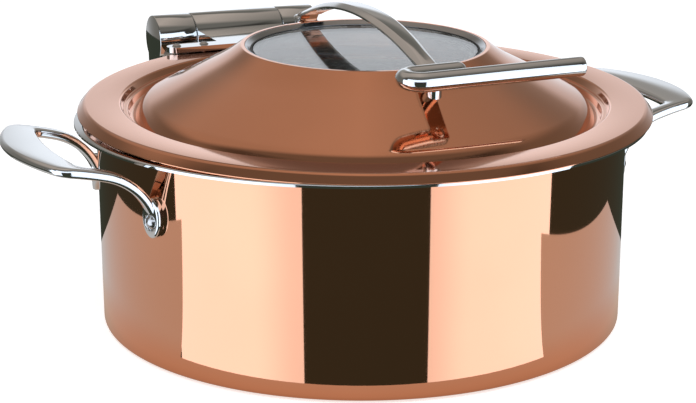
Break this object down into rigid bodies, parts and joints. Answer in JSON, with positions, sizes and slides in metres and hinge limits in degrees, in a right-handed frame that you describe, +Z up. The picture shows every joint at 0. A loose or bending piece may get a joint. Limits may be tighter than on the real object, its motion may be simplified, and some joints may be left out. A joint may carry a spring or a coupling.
{
  "type": "chafing dish",
  "caption": "Round copper-coloured chafing dish with a hinged windowed lid, a strap and a bar grip on the lid, two side handles and a lift-out steel food pan",
  "frame": {"origin": "centre of the base's underside", "axes": "+X along the two side handles, +Y towards the lid's hinge at the back, +Z up; the origin is the centre of the base's underside"},
  "size_m": [0.418, 0.39, 0.1804],
  "materials": {
    "copper_polish": "polished copper-coloured plating on stainless steel",
    "steel_polish": "mirror-polished stainless steel",
    "steel_satin": "satin stainless steel",
    "steel_fastener": "plain stainless steel",
    "aluminium_core": "as rolled",
    "brass_bush": "turned",
    "brake_polymer": "moulded, matte",
    "black_seal": "silicone, matte",
    "clear_glass": "clear toughened glass"
  },
  "bodies": {
    "pot": {"outer_shell": "copper_polish", "rim_ring": "steel_polish", "left_handle": "steel_polish", "right_handle": "steel_polish", "left_cheek": "steel_polish", "right_cheek": "steel_polish", "outer_knuckles": "steel_polish", "handle_screws": "steel_polish", "inner_pot": "steel_satin", "food_pan": "steel_satin", "base_cap": "steel_satin", "hinge_bracket": "steel_satin", "hinge_pin": "steel_satin", "handle_nuts": "steel_fastener", "bracket_screws": "steel_fastener", "bracket_nuts": "steel_fastener", "base_core": "aluminium_core"},
    "lid": {"lid_shell": "copper_polish", "lid_bumpers": "black_seal", "window_frame": "steel_polish", "window_gasket": "black_seal", "window_glass": "clear_glass", "glass_retainer": "steel_satin", "lid_strap": "steel_polish", "strap_posts": "steel_polish", "strap_screws": "steel_polish", "strap_nuts": "steel_fastener", "grip_arm": "steel_polish", "front_grip": "steel_polish", "grip_screw": "steel_polish", "lid_hinge_leaf": "steel_polish", "leaf_screws": "steel_polish", "leaf_nuts": "steel_fastener", "leaf_studs": "steel_polish", "hinge_bushes": "brass_bush", "brake_sleeve": "brake_polymer"}
  },
  "joints": [
    {"name": "lid_hinge", "type": "hinge", "parent": "pot", "child": "lid", "pos_m": [0, 0.2084, 0.1416], "axis": [-1, 0, 0], "range_deg": [0, 90]}
  ]
}
